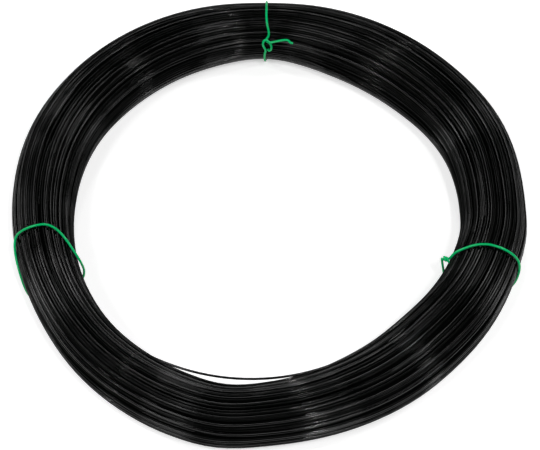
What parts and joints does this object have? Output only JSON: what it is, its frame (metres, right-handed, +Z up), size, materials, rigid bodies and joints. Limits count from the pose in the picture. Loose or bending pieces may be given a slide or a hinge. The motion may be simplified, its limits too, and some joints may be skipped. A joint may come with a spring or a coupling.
{
  "type": "coil of plastic-coated binding wire",
  "caption": "Round bundle of black coated wire wound into a flat-lying coil with an open bore, held by green tie wires with hooked and twisted ends.",
  "frame": {"origin": "on the floor under the middle of the coil's bore", "axes": "+Z up along the bore's axis, -Y to the front, where a loose turn stands off the bore, +X to the right"},
  "size_m": [0.343, 0.3449, 0.0437],
  "materials": {
    "black_wire": "glossy black plastic coating on wire",
    "green_tie": "glossy green plastic coating on tie wire"
  },
  "bodies": {
    "root": {"wire_coil": "black_wire", "back_tie": "green_tie", "left_tie": "green_tie", "right_tie": "green_tie"}
  },
  "joints": []
}
